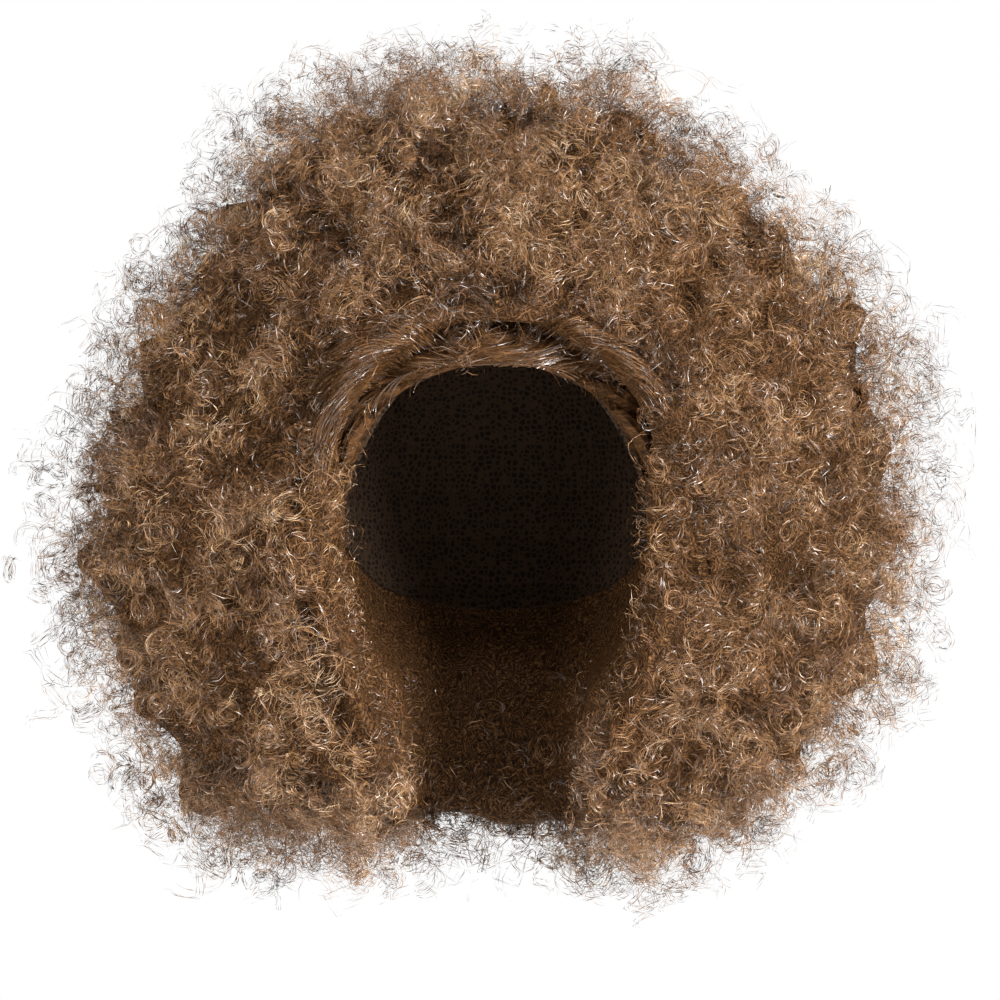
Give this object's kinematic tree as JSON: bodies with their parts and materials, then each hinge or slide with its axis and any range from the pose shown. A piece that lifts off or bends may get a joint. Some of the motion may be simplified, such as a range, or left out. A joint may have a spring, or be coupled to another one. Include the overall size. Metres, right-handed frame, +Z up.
{
  "type": "afro wig",
  "caption": "Big round wig of tight curls on a close stretch cap, open in front for the face and neck, with hair combed back along the hairline.",
  "frame": {"origin": "the crown of the head on the inside of the cap, where the wig sits on a head", "axes": "+X to the wearer's left, -Y the way the face looks, +Z up"},
  "size_m": [0.3992, 0.3249, 0.3751],
  "materials": {
    "hair": "satin",
    "combed_hair": "satin",
    "cap_net": "matte"
  },
  "bodies": {
    "root": {"cap": "cap_net", "hairline_sweep": "combed_hair", "front_hair": "hair", "crown_hair": "hair", "left_hair": "hair", "right_hair": "hair", "back_hair": "hair", "nape_hair": "hair"}
  },
  "joints": []
}
